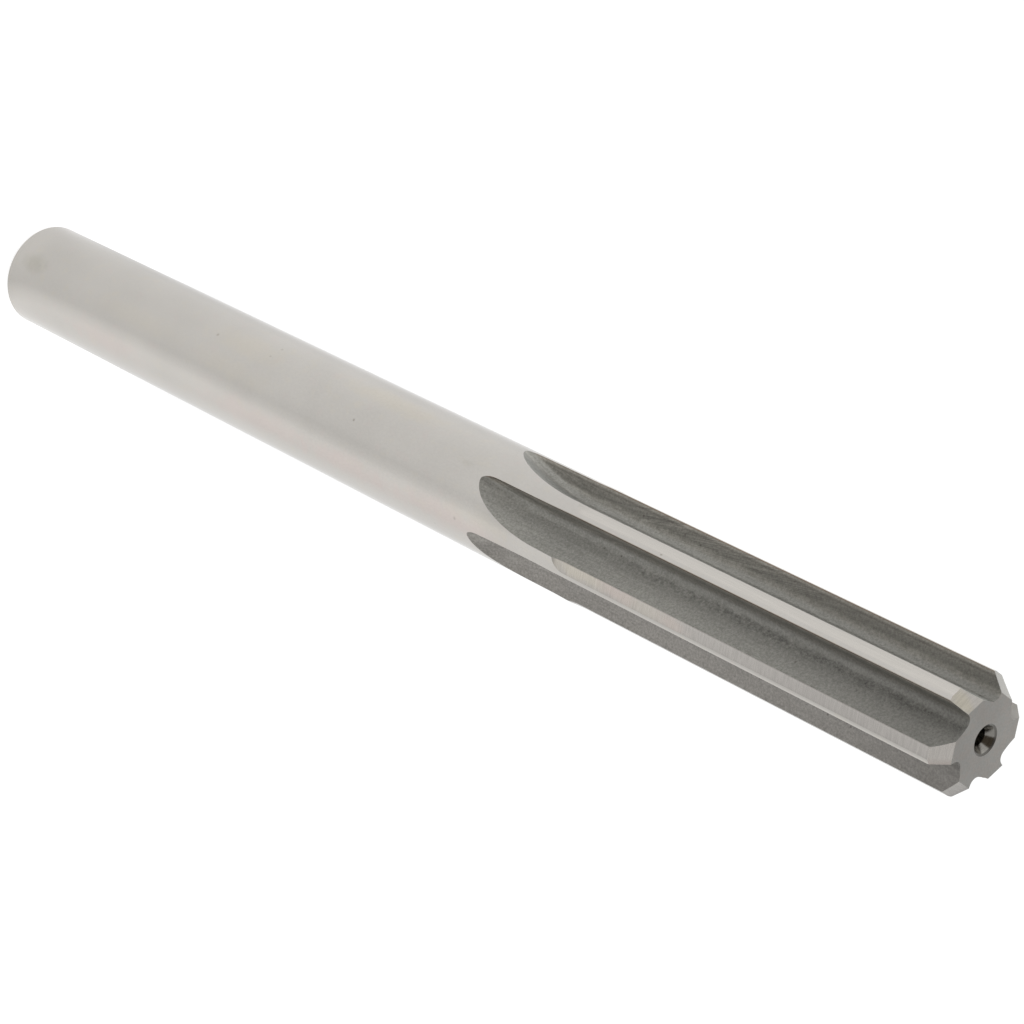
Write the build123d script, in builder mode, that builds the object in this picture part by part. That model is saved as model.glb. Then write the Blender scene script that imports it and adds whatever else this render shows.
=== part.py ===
# Machine reamer with straight flutes, ground in one piece from a round carbide rod.
#
# It stands on the end of its shank. The origin is the centre of that end face, +Z runs up the axis to the
# cutting tip, and the cutting edge of the first tooth lies over +X. Seen from the tip it cuts turning
# anticlockwise, so every flute lies on the anticlockwise side of its cutting edge.
#
# Lengths are in millimetres and angles in degrees. The flute, relief and bevel cutters are shaped for the
# first tooth and then go round the axis, once for each tooth.

import os
from math import cos, radians, sin, sqrt, tan

from build123d import *

# Driving dimensions: the ground rod
overall_length = 76.2
shank_diameter = 6.3
shank_chamfer = 0.3
cutting_diameter = 6.35
cutting_length = 26.4  # ground to the cutting diameter, measured back from the tip
cutting_taper_length = 1.0  # between the shank and the cutting diameter

# Driving dimensions: the teeth and the flutes between them
tooth_count = 6
tooth_width_angle = 15.0  # round the cutting diameter, before the tooth is relieved
flute_floor = 1.84  # from the axis to the floor of the flute
flute_root_radius = 0.5  # under the cutting face
flute_length = 27.4  # at full depth, measured back from the tip
flute_lift_radius = 12.0  # of the curve in which the flute runs out into the shank

# Driving dimensions: the relief behind each cutting edge
margin_angle = 4.0  # the round strip left at the full cutting diameter
relief_angle = 14.0
relief_length = 25.4
relief_lift_radius = 5.0

# Driving dimensions: the bevel lead at the tip, which does the cutting
bevel_angle = 45.0
bevel_length = 0.74  # along the axis, at the cutting edge
bevel_clearance_angle = 13.2

# Driving dimensions: the centre hole in the tip
centre_pilot_diameter = 1.0
centre_pilot_length = 1.3
centre_point_angle = 118.0
centre_cone_width = 0.23
centre_cone_angle = 60.0
centre_guard_width = 0.1  # the shallow cone that keeps the rim from being bruised
centre_guard_angle = 120.0

tool_clearance = 0.6  # how far each cutter reaches past the rod

# Places worked out from the driving dimensions
shank_radius = shank_diameter / 2
cutting_radius = cutting_diameter / 2
outside_radius = max(shank_radius, cutting_radius) + tool_clearance
cutting_start = overall_length - cutting_length
flute_start = overall_length - flute_length
relief_start = overall_length - relief_length
heel_angle = 360 / tooth_count - tooth_width_angle
flute_depth = shank_radius - flute_floor
flute_run_out = sqrt(flute_depth * (2 * flute_lift_radius - flute_depth))


def around_axis(radius, angle):
    """The point at a radius from the axis, at an angle from the first cutting edge."""
    return Vector(radius * cos(radians(angle)), radius * sin(radians(angle)))


# A flute has a radial cutting face, a round root, and a back that curves up to the heel of the next tooth.
# It runs out into the shank in an arc, as the grinding wheel is lifted.
heel = around_axis(cutting_radius, heel_angle)
flute_lift_axis = Axis((flute_floor + flute_lift_radius, 0, flute_start), (0, -1, 0))

with BuildPart() as flute_cutter:
    with BuildSketch(Plane.XY.offset(flute_start)) as flute_section:
        with BuildLine():
            cutting_face = Line((outside_radius, 0), (flute_floor + flute_root_radius, 0))
            root = JernArc(cutting_face @ 1, cutting_face % 1, flute_root_radius, -90)
            TangentArc(root @ 1, heel, tangent=root % 1)
            Line(heel, around_axis(outside_radius, heel_angle))
            CenterArc((0, 0), outside_radius, 0, heel_angle)
        make_face()
    extrude(amount=flute_length + tool_clearance)
    revolve(flute_section.sketch, axis=flute_lift_axis, revolution_arc=90)

# The relief is a flat that falls away behind the margin, across the rest of the tooth
relief_normal_angle = -margin_angle - relief_angle
relief_normal = around_axis(1, relief_normal_angle)
relief_direction = around_axis(1, relief_normal_angle - 90)
relief_width = cutting_radius * radians(tooth_width_angle)
margin_edge = around_axis(cutting_radius, -margin_angle)
relief_far_edge = margin_edge + relief_direction * relief_width
relief_depth = relief_normal * tool_clearance
relief_lift_centre = margin_edge + relief_normal * relief_lift_radius
relief_lift_axis = Axis((relief_lift_centre.X, relief_lift_centre.Y, relief_start), relief_direction)

with BuildPart() as relief_cutter:
    with BuildSketch(Plane.XY.offset(relief_start)) as relief_section:
        with BuildLine():
            Polyline(
                margin_edge,
                relief_far_edge,
                relief_far_edge + relief_depth,
                margin_edge + relief_depth,
                close=True,
            )
        make_face()
    extrude(amount=relief_length + tool_clearance)
    revolve(relief_section.sketch, axis=relief_lift_axis, revolution_arc=90)

# The bevel is a flat through the sloping end of the cutting edge, tilted down behind that edge
bevel_plane = Plane(
    origin=(cutting_radius, 0, overall_length - bevel_length),
    z_dir=(
        sin(radians(bevel_angle)) * cos(radians(bevel_clearance_angle)),
        -sin(radians(bevel_clearance_angle)),
        cos(radians(bevel_angle)) * cos(radians(bevel_clearance_angle)),
    ),
)

with BuildPart() as bevel_cutter:
    with BuildSketch(bevel_plane):
        Circle(cutting_diameter)
    extrude(amount=cutting_diameter)

# The centre hole takes the point of a grinder's centre: a guard, a 60 degree cone and a drilled pilot
centre_pilot_radius = centre_pilot_diameter / 2
centre_cone_radius = centre_pilot_radius + centre_cone_width
centre_rim_radius = centre_cone_radius + centre_guard_width
centre_cone_top = overall_length - centre_guard_width / tan(radians(centre_guard_angle / 2))
centre_pilot_top = centre_cone_top - centre_cone_width / tan(radians(centre_cone_angle / 2))
centre_pilot_bottom = centre_pilot_top - centre_pilot_length
centre_point = centre_pilot_bottom - centre_pilot_radius / tan(radians(centre_point_angle / 2))

with BuildPart() as reamer:
    with BuildSketch(Plane.XZ):
        with BuildLine():
            Polyline(
                (0, 0),
                (shank_radius - shank_chamfer, 0),
                (shank_radius, shank_chamfer),
                (shank_radius, cutting_start - cutting_taper_length),
                (cutting_radius, cutting_start),
                (cutting_radius, overall_length),
                (0, overall_length),
                close=True,
            )
        make_face()
    revolve(axis=Axis.Z)

    with PolarLocations(0, tooth_count):
        add(flute_cutter.part, mode=Mode.SUBTRACT)
        add(relief_cutter.part, mode=Mode.SUBTRACT)
        add(bevel_cutter.part, mode=Mode.SUBTRACT)

    with BuildSketch(Plane.XZ):
        with BuildLine():
            Polyline(
                (0, overall_length),
                (centre_rim_radius, overall_length),
                (centre_cone_radius, centre_cone_top),
                (centre_pilot_radius, centre_pilot_top),
                (centre_pilot_radius, centre_pilot_bottom),
                (0, centre_point),
                close=True,
            )
        make_face()
    revolve(axis=Axis.Z, mode=Mode.SUBTRACT)

reamer.part.label = "reamer"
os.makedirs("parts", exist_ok=True)
export_step(reamer.part, "parts/reamer.step")

size = reamer.part.bounding_box().size
print(f"reamer {size.X:.3f} x {size.Y:.3f} x {size.Z:.3f} mm, {reamer.part.volume:.1f} mm3")
print(f"{len(reamer.part.faces())} faces, flutes run out {flute_start - flute_run_out:.2f} mm up the shank")
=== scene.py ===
import math

import bmesh
import bpy
from mathutils import Matrix, Vector


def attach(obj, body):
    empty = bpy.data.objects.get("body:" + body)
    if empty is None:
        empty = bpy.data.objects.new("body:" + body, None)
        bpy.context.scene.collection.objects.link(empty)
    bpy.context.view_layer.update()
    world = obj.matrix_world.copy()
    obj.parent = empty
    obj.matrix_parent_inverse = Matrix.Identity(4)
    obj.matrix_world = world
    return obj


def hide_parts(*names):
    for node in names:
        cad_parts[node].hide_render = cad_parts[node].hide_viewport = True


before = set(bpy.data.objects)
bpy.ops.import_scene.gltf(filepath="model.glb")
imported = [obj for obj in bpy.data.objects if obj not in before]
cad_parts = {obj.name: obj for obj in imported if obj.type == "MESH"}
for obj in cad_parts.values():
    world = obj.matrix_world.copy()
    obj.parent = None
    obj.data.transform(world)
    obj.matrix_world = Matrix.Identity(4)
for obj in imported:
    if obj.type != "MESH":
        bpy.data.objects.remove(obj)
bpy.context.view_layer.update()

scene = bpy.context.scene
print("frame loaded:", sorted(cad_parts))


# Helpers for node trees. A value that is a socket is linked, any other is set.

def setOrLink(tree, socket, value):
    if isinstance(value, bpy.types.NodeSocket):
        tree.links.new(value, socket)
    elif value is not None:
        socket.default_value = value


def addNode(tree, kind, inputs=None, **settings):
    node = tree.nodes.new(kind)
    for name, value in settings.items():
        setattr(node, name, value)
    for name, value in (inputs or {}).items():
        setOrLink(tree, node.inputs[name], value)
    return node


def calc(tree, operation, a, b=None, c=None):
    return addNode(tree, "ShaderNodeMath", {0: a, 1: b, 2: c}, operation=operation).outputs[0]


def times(tree, value, *others):
    for other in others:
        value = calc(tree, "MULTIPLY", value, other)
    return value


def remainder(tree, share):
    # what a share leaves of one
    return calc(tree, "SUBTRACT", 1.0, share)


def distance(tree, value, place):
    return calc(tree, "ABSOLUTE", calc(tree, "SUBTRACT", value, place))


def swing(tree, pattern, depth):
    # makes a tone round 1 of a pattern round 0.5
    return calc(tree, "MULTIPLY_ADD", calc(tree, "SUBTRACT", pattern, 0.5), depth, 1.0)


def fade(tree, value, start, end, low=0.0, high=1.0):
    inputs = {"Value": value, "From Min": start, "From Max": end, "To Min": low, "To Max": high}
    return addNode(tree, "ShaderNodeMapRange", inputs, interpolation_type="SMOOTHSTEP").outputs[0]


def band(tree, value, start, full, end, gone):
    return times(tree, fade(tree, value, start, full), fade(tree, value, end, gone, 1.0, 0.0))


def noise(tree, place, scale, detail=3.0, roughness=0.5, distortion=0.0):
    inputs = {"Vector": place, "Scale": scale, "Detail": detail, "Roughness": roughness,
              "Distortion": distortion}
    return addNode(tree, "ShaderNodeTexNoise", inputs).outputs["Fac"]


def vector(tree, x, y, z=0.0):
    return addNode(tree, "ShaderNodeCombineXYZ", {0: x, 1: y, 2: z}).outputs[0]


def scaled(tree, value, scale):
    inputs = {0: value, "Scale": scale}
    return addNode(tree, "ShaderNodeVectorMath", inputs, operation="SCALE").outputs[0]


def dot(tree, a, b):
    return addNode(tree, "ShaderNodeVectorMath", {0: a, 1: b}, operation="DOT_PRODUCT").outputs["Value"]


def mixColour(tree, factor, a, b, blend="MIX"):
    node = addNode(tree, "ShaderNodeMix", data_type="RGBA", blend_type=blend)
    for index, value in ((0, factor), (6, a), (7, b)):
        setOrLink(tree, node.inputs[index], value)
    return node.outputs[2]


def mixValue(tree, factor, a, b):
    node = addNode(tree, "ShaderNodeMix", data_type="FLOAT")
    for index, value in ((0, factor), (2, a), (3, b)):
        setOrLink(tree, node.inputs[index], value)
    return node.outputs[0]


def opaque(colour):
    return (*colour, 1.0)


def toned(tree, colour, tone):
    # the colour times a grey value
    grey = addNode(tree, "ShaderNodeCombineColor", {0: tone, 1: tone, 2: tone}).outputs[0]
    return mixColour(tree, 1.0, colour, grey, "MULTIPLY")


def spread(tree, value, span, stops):
    # a colour ramp over a span of the value. Each stop is a place in the value's own units, and a grey or a
    # colour. The ramp holds halves, because it ends at 1 and some tones are above that.
    low, high = span
    place = calc(tree, "DIVIDE", calc(tree, "SUBTRACT", value, low), high - low)
    node = addNode(tree, "ShaderNodeValToRGB", {0: place})
    while len(node.color_ramp.elements) < len(stops):
        node.color_ramp.elements.new(0.5)
    for element, (at, tone) in zip(node.color_ramp.elements, stops):
        parts = (tone, tone, tone) if isinstance(tone, float) else tone
        element.position = (at - low) / (high - low)
        element.color = opaque([part / 2.0 for part in parts])
    return scaled(tree, node.outputs[0], 2.0)


def startGroup(name, inputs, outputs):
    group = bpy.data.node_groups.new(name, "ShaderNodeTree")
    for socketName, kind, value in inputs:
        socket = group.interface.new_socket(socketName, in_out="INPUT", socket_type=kind)
        if value is not None:
            socket.default_value = value
    for socketName, kind in outputs:
        group.interface.new_socket(socketName, in_out="OUTPUT", socket_type=kind)
    return group, group.nodes.new("NodeGroupInput").outputs, group.nodes.new("NodeGroupOutput").inputs


def useGroup(tree, group, **values):
    node = tree.nodes.new("ShaderNodeGroup")
    node.node_tree = group
    for name, value in values.items():
        setOrLink(tree, node.inputs[name], value)
    return node.outputs


def startMaterial(name):
    material = bpy.data.materials.new(name)
    material.use_nodes = True
    tree = material.node_tree
    return material, tree, tree.nodes["Principled BSDF"].inputs


patternSpan = (0.3, 0.7)  # most of a noise lies in this


def finishMetal(tree, surface, look, colour, dullness, height):
    # dullness and height are patterns round 0.5
    setOrLink(tree, surface["Base Color"], colour)
    surface["Metallic"].default_value = 1.0
    middle, change = look["roughness"]
    roughness = fade(tree, dullness, *patternSpan, middle - change, middle + change)
    setOrLink(tree, surface["Roughness"], roughness)
    strength, depth = look["bump"]
    bump = addNode(tree, "ShaderNodeBump", {"Height": height, "Strength": strength, "Distance": depth})
    setOrLink(tree, surface["Normal"], bump.outputs[0])


# The reamer is shaped in millimetres and degrees, and brought to metres at the end. Its metals come below.

reamer = {
    "length": 76.2,
    "shankRadius": 3.15,
    "shankChamfer": 0.3,
    "cuttingRadius": 3.175,
    "cuttingLength": 26.4,
    "taperLength": 1.0,
    "toothCount": 6,
    "toothWidth": 15.0,
    "flutes": [  # from +X round: floor, lean of the cutting face, start and lift radius of the wheel
        (1.845, 2.0, 48.8, 12.0),
        (1.82, 0.0, 48.8, 12.0),
        (1.84, 0.0, 48.8, 12.0),
        (1.905, 4.0, 49.6, 15.5),
        (1.865, 0.0, 48.7, 12.2),
        (1.80, 5.0, 48.65, 12.2),
    ],
    "fluteRootRadius": 0.45,
    "marginAngle": 4.0,
    "reliefAngle": 14.0,
    "reliefLength": 25.4,
    "reliefLiftRadius": 5.0,
    "bevelAngle": 45.0,
    "bevelLengths": [0.74, 0.74, 0.74, 0.79, 0.74, 0.74],
    "bevelClearance": 13.2,
    "bevelBlock": (3.0, 1.7, 0.8),  # the block that cuts a bevel, and where its middle is from the edge
    "bevelBlockMiddle": (0.2, 0.5, 0.4),
    "centreHole": [  # radius, and height from the tip: guard, 60 degree cone, pilot and drill point
        (0.0, 0.1), (1.0032, 0.1), (0.73, -0.0577), (0.5, -0.4561), (0.5, -1.7561), (0.0, -2.0565),
    ],
    "clearance": 0.6,  # how far a cutter reaches past the rod
    "liftAngle": 45.0,  # how far round its arc a lifted cutter goes
    "roundSteps": 192,
    "fluteRootSteps": 14,
    "fluteBackSteps": 26,
    "fluteOuterSteps": 24,
    "liftSteps": 40,
    "profileWeld": 1e-5,  # points nearer than this are merged
    "outlineWeld": 1e-4,
    "bodyWeld": 2e-4,
    "sharpAngle": 11.0,
    "endFlatness": 0.999,  # a face gets the metal of the tip if it is this level, and this near to an end
    "endReach": 0.01,
}
tip = reamer["length"]
cutRadius = reamer["cuttingRadius"]
toothStep = 360.0 / reamer["toothCount"]
millimetre = 0.001


def around(radius, degrees, height=0.0):
    angle = math.radians(degrees)
    return Vector((radius * math.cos(angle), radius * math.sin(angle), height))


def addObject(name, bm, material):
    mesh = bpy.data.meshes.new(name)
    bm.to_mesh(mesh)
    bm.free()
    mesh.materials.append(material)
    made = bpy.data.objects.new(name, mesh)
    scene.collection.objects.link(made)
    return made


def addSolid(name, bm, material):
    bmesh.ops.recalc_face_normals(bm, faces=bm.faces)
    return addObject(name, bm, material)


def lineTo(bm, vert, place):
    made = bmesh.ops.extrude_vert_indiv(bm, verts=[vert])["verts"][0]
    made.co = place
    return made


def arcFrom(bm, vert, centre, degrees, steps):
    turn = bmesh.ops.spin(bm, geom=[vert], cent=centre, axis=(0, 0, 1), angle=math.radians(degrees),
                          steps=steps, use_merge=False, use_duplicate=False)
    return [item for item in turn["geom_last"] if isinstance(item, bmesh.types.BMVert)][0]


def turnedSolid(name, profile, material):
    bm = bmesh.new()
    vert = bm.verts.new((profile[0][0], 0.0, profile[0][1]))
    for radius, height in profile[1:]:
        vert = lineTo(bm, vert, (radius, 0.0, height))
    bmesh.ops.spin(bm, geom=bm.verts[:] + bm.edges[:], cent=(0, 0, 0), axis=(0, 0, 1),
                   angle=math.tau, steps=reamer["roundSteps"], use_merge=True, use_duplicate=False)
    bmesh.ops.remove_doubles(bm, verts=bm.verts, dist=reamer["profileWeld"])
    bmesh.ops.holes_fill(bm, edges=bm.edges, sides=0)
    # half a step keeps its edges off the corners of the cutters
    halfStep = Matrix.Rotation(math.pi / reamer["roundSteps"], 3, "Z")
    bmesh.ops.rotate(bm, cent=(0, 0, 0), matrix=halfStep, verts=bm.verts)
    return addSolid(name, bm, material)


def sweepCutter(bm, liftCentre, liftAxis, length):
    # sweeps the closed outline in the bmesh up past the tip, and down in the arc of the lifted wheel
    outline = bm.edges[:]
    bmesh.ops.spin(bm, geom=bm.verts[:] + outline, cent=liftCentre, axis=liftAxis,
                   angle=math.radians(reamer["liftAngle"]), steps=reamer["liftSteps"],
                   use_merge=False, use_duplicate=False)
    raised = bmesh.ops.extrude_edge_only(bm, edges=outline)["geom"]
    raised = [item for item in raised if isinstance(item, bmesh.types.BMVert)]
    bmesh.ops.translate(bm, vec=(0, 0, length), verts=raised)
    bmesh.ops.holes_fill(bm, edges=[edge for edge in bm.edges if edge.is_boundary], sides=0)


def turnToTooth(bm, index):
    turn = Matrix.Rotation(math.radians(toothStep * index), 3, "Z")
    bmesh.ops.rotate(bm, cent=(0, 0, 0), matrix=turn, verts=bm.verts)


def makeRod():
    shankRadius = reamer["shankRadius"]
    cuttingStart = tip - reamer["cuttingLength"]
    profile = [
        (shankRadius - reamer["shankChamfer"], 0.0),
        (shankRadius, reamer["shankChamfer"]),
        (shankRadius, cuttingStart - reamer["taperLength"]),
        (cutRadius, cuttingStart),
        (cutRadius, tip),
    ]
    return turnedSolid("rod", profile, shankMetal)


def makeFluteCutter(index):
    floorRadius, lean, start, liftRadius = reamer["flutes"][index]
    rootRadius = reamer["fluteRootRadius"]
    leaning = math.radians(lean)
    rootX = floorRadius + rootRadius
    rootY = (rootRadius + (cutRadius - rootX) * math.sin(leaning)) / math.cos(leaning)
    rootCentre = Vector((rootX, rootY, start))
    faceEnd = rootCentre - rootRadius * Vector((math.sin(leaning), math.cos(leaning), 0.0))
    heelAngle = toothStep - reamer["toothWidth"]
    heel = around(cutRadius, heelAngle, start)
    backRise = Vector((heel.x - floorRadius, heel.y - rootY))
    backRadius = backRise.length_squared / (2 * backRise.x)  # tangent to the floor, and through the heel
    backAngle = math.degrees(math.atan2(backRise.y, backRadius - backRise.x))
    outer = cutRadius + reamer["clearance"]
    bm = bmesh.new()
    first = bm.verts.new((outer, -(outer - cutRadius) * math.tan(leaning), start))
    vert = lineTo(bm, first, faceEnd)
    vert = arcFrom(bm, vert, rootCentre, lean - 90.0, reamer["fluteRootSteps"])
    vert = arcFrom(bm, vert, (floorRadius + backRadius, rootY, start), -backAngle, reamer["fluteBackSteps"])
    vert = lineTo(bm, vert, around(outer, heelAngle, start))
    vert = arcFrom(bm, vert, (0.0, 0.0, start), -heelAngle, reamer["fluteOuterSteps"])
    bm.edges.new((vert, first))
    bmesh.ops.remove_doubles(bm, verts=bm.verts, dist=reamer["outlineWeld"])
    liftCentre = (floorRadius + liftRadius, 0.0, start)
    sweepCutter(bm, liftCentre, (0, -1, 0), tip - start + reamer["clearance"])
    turnToTooth(bm, index)
    return addSolid("fluteCutter", bm, fluteMetal)


def makeReliefCutter(index):
    start = tip - reamer["reliefLength"]
    facing = -reamer["marginAngle"] - reamer["reliefAngle"]
    margin = around(cutRadius, -reamer["marginAngle"], start)
    normal = around(1.0, facing)
    along = around(1.0, facing - 90.0)
    width = cutRadius * math.radians(reamer["toothWidth"])
    farEdge = margin + along * width
    depth = normal * reamer["clearance"]
    bm = bmesh.new()
    first = bm.verts.new(margin)
    vert = lineTo(bm, first, farEdge)
    vert = lineTo(bm, vert, farEdge + depth)
    vert = lineTo(bm, vert, margin + depth)
    bm.edges.new((vert, first))
    liftCentre = margin + normal * reamer["reliefLiftRadius"]
    sweepCutter(bm, liftCentre, along, reamer["reliefLength"] + reamer["clearance"])
    turnToTooth(bm, index)
    return addSolid("reliefCutter", bm, reliefMetal)


def makeBevelCutter(index):
    slope = math.radians(reamer["bevelAngle"])
    tilt = math.radians(reamer["bevelClearance"])
    normal = Vector((math.sin(slope) * math.cos(tilt), -math.sin(tilt), math.cos(slope) * math.cos(tilt)))
    inwards = Vector((-normal.z, 0.0, normal.x)).normalized()
    sideways = normal.cross(inwards)
    edge = Vector((cutRadius, 0.0, tip - reamer["bevelLengths"][index]))
    bm = bmesh.new()
    bmesh.ops.create_cube(bm, size=1.0)
    bmesh.ops.scale(bm, vec=reamer["bevelBlock"], verts=bm.verts)
    bmesh.ops.translate(bm, vec=reamer["bevelBlockMiddle"], verts=bm.verts)
    turn = Matrix((inwards, sideways, normal)).transposed().to_4x4()
    bmesh.ops.transform(bm, matrix=Matrix.Translation(edge) @ turn, verts=bm.verts)
    turnToTooth(bm, index)
    return addSolid("bevelCutter", bm, bevelMetal)


def makeHoleCutter():
    profile = [(radius, tip + above) for radius, above in reamer["centreHole"]]
    return turnedSolid("holeCutter", profile, holeMetal)


def cutAway(body, cutter):
    cut = body.modifiers.new(cutter.name, "BOOLEAN")
    cut.operation = "DIFFERENCE"
    cut.solver = "EXACT"
    cut.material_mode = "TRANSFER"
    cut.object = cutter
    graph = bpy.context.evaluated_depsgraph_get()
    mesh = bpy.data.meshes.new_from_object(body.evaluated_get(graph))
    body.modifiers.clear()
    body.data = mesh
    bpy.data.objects.remove(cutter)


def isEndFace(face):
    # a flat face at the tip or at the end of the shank
    fromMiddle = abs(face.calc_center_median().z - tip / 2)
    return abs(face.normal.z) > reamer["endFlatness"] and fromMiddle > tip / 2 - reamer["endReach"]


def makeReamer():
    body = makeRod()
    for makeCutter in (makeFluteCutter, makeReliefCutter, makeBevelCutter):
        for index in range(reamer["toothCount"]):
            cutAway(body, makeCutter(index))
        print(makeCutter.__name__, "done,", len(body.data.polygons), "faces")
    cutAway(body, makeHoleCutter())
    mesh = body.data
    bm = bmesh.new()
    bm.from_mesh(mesh)
    bmesh.ops.remove_doubles(bm, verts=bm.verts, dist=reamer["bodyWeld"])
    bmesh.ops.dissolve_degenerate(bm, edges=bm.edges, dist=reamer["outlineWeld"])
    tipIndex = len(mesh.materials)
    mesh.materials.append(tipMetal)
    for face in bm.faces:
        face.smooth = True
        if isEndFace(face):
            face.material_index = tipIndex
    bmesh.ops.scale(bm, vec=(millimetre, millimetre, millimetre), verts=bm.verts)
    bm.to_mesh(mesh)
    bm.free()
    mesh.set_sharp_from_angle(angle=math.radians(reamer["sharpAngle"]))
    body.name = "groundReamer"
    mesh.name = "groundReamer"
    print("reamer:", len(mesh.polygons), "faces,", [m.name for m in mesh.materials])
    return body


# Node groups

def makeToolPlace():
    # where a point is on the tool, in millimetres and degrees
    group, _, outputs = startGroup("toolPlace", [], [
        ("Millimetres", "NodeSocketVector"),
        ("Azimuth", "NodeSocketFloat"),
        ("Tooth Angle", "NodeSocketFloat"),
        ("Radius", "NodeSocketFloat"),
        ("Height", "NodeSocketFloat"),
    ])
    place = addNode(group, "ShaderNodeTexCoord").outputs["Object"]
    large = scaled(group, place, 1.0 / millimetre)
    x, y, height = addNode(group, "ShaderNodeSeparateXYZ", {0: large}).outputs
    azimuth = calc(group, "DEGREES", calc(group, "ARCTAN2", y, x))
    behind = 2.0  # the tooth angle is 0 on each cutting edge, and starts this far behind it
    ahead = calc(group, "FLOORED_MODULO", calc(group, "ADD", azimuth, behind), toothStep)
    squares = calc(group, "MULTIPLY_ADD", x, x, calc(group, "MULTIPLY", y, y))
    values = (large, azimuth, calc(group, "SUBTRACT", ahead, behind), calc(group, "SQRT", squares), height)
    for value, output in zip(values, outputs):
        group.links.new(value, output)
    return group


def makeGrain():
    # the grain and lines of worked metal, by how far the noise is squeezed along each axis
    group, inputs, outputs = startGroup("metalGrain", [
        ("Place", "NodeSocketVector", None),
        ("Squeeze", "NodeSocketVector", (1.0, 1.0, 1.0)),
        ("Scale", "NodeSocketFloat", 5.0),
        ("Detail", "NodeSocketFloat", 3.0),
        ("Roughness", "NodeSocketFloat", 0.5),
    ], [("Mask", "NodeSocketFloat")])
    place = {0: inputs[0], 1: inputs[1]}
    place = addNode(group, "ShaderNodeVectorMath", place, operation="MULTIPLY").outputs[0]
    group.links.new(noise(group, place, inputs[2], inputs[3], inputs[4]), outputs[0])
    return group


cloud = {
    "ragged": 1.4,
    "noise": (1.1, 4.0, 0.6),
    "edge": (0.15, 1.0, 1.0, 0.0),
}


def makeSoftSpot():
    # a cloud with a ragged edge, at a place on the round of the tool
    group, inputs, outputs = startGroup("softSpot", [
        ("Place", "NodeSocketVector", None),
        ("Azimuth", "NodeSocketFloat", 0.0),
        ("Height", "NodeSocketFloat", 0.0),
        ("At Azimuth", "NodeSocketFloat", 0.0),
        ("At Height", "NodeSocketFloat", 0.0),
        ("Wide", "NodeSocketFloat", 10.0),
        ("Long", "NodeSocketFloat", 4.0),
        ("Ragged", "NodeSocketFloat", cloud["ragged"]),
    ], [("Mask", "NodeSocketFloat")])
    across = calc(group, "DIVIDE", calc(group, "SUBTRACT", inputs[1], inputs[3]), inputs[5])
    along = calc(group, "DIVIDE", calc(group, "SUBTRACT", inputs[2], inputs[4]), inputs[6])
    squares = calc(group, "MULTIPLY_ADD", across, across, calc(group, "MULTIPLY", along, along))
    ragged = calc(group, "SUBTRACT", noise(group, inputs[0], *cloud["noise"]), 0.5)
    reach = calc(group, "MULTIPLY_ADD", ragged, inputs[7], calc(group, "SQRT", squares))
    group.links.new(fade(group, reach, *cloud["edge"]), outputs[0])
    return group


def makeTinyPits():
    # a round spot in some of the cells
    group, inputs, outputs = startGroup("tinyPits", [
        ("Place", "NodeSocketVector", None),
        ("Density", "NodeSocketFloat", 1.0),
        ("Share", "NodeSocketFloat", 0.3),
        ("Size", "NodeSocketFloat", 0.1),
    ], [("Mask", "NodeSocketFloat")])
    cells = addNode(group, "ShaderNodeTexVoronoi", {"Vector": inputs[0], "Scale": inputs[1]}).outputs
    chance = addNode(group, "ShaderNodeSeparateColor", {0: cells["Color"]}).outputs[0]
    chosen = calc(group, "LESS_THAN", chance, inputs[2])
    core = fade(group, cells["Distance"], 0.0, inputs[3], 1.0, 0.0)
    group.links.new(calc(group, "MULTIPLY", chosen, core), outputs[0])
    return group


toolPlace = makeToolPlace()
metalGrain = makeGrain()
softSpot = makeSoftSpot()
tinyPits = makeTinyPits()
print("node groups made")


def grain(tree, mm, squeeze, scale, detail=3.0, roughness=0.5):
    values = {"Squeeze": squeeze, "Scale": scale, "Detail": detail, "Roughness": roughness}
    return useGroup(tree, metalGrain, Place=mm, **values)["Mask"]


def addClouds(tree, place, colour, look, *tints):
    for tint in tints:
        ragged = look.get(tint + "Ragged", cloud["ragged"])
        for azimuth, height, wide, long, strength in look[tint + "Clouds"]:
            values = {"At Azimuth": azimuth, "At Height": height, "Wide": wide, "Long": long}
            spot = useGroup(tree, softSpot, Place=place["Millimetres"], Azimuth=place["Azimuth"],
                            Height=place["Height"], Ragged=ragged, **values)["Mask"]
            colour = mixColour(tree, times(tree, spot, strength), colour, opaque(look[tint]))
    return colour


def pitMask(tree, mm, density, share, size, strength):
    pits = useGroup(tree, tinyPits, Place=mm, Density=density, Share=share, Size=size)["Mask"]
    return times(tree, pits, strength)


# Metals of the reamer. Colours are linear. Heights and radii are in mm, and other places in degrees.
# A fade is the two places that it runs between, then the values there if they aren't 0 and 1.
# A grain is how far it is squeezed, its scale, detail and roughness. A cloud is azimuth, height, wide, long
# and strength, and pits are density, share, size and strength. Roughness is its middle and change, and bump
# its strength and depth in metres.

fullTurn = (-180.0, 180.0)  # the spans that the lists of tones run over
acrossFlute = (0.0, 45.0)
acrossTooth = (45.0, 60.0)
upTool = (0.0, tip)
downWall = (2.0, 3.2)

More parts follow.
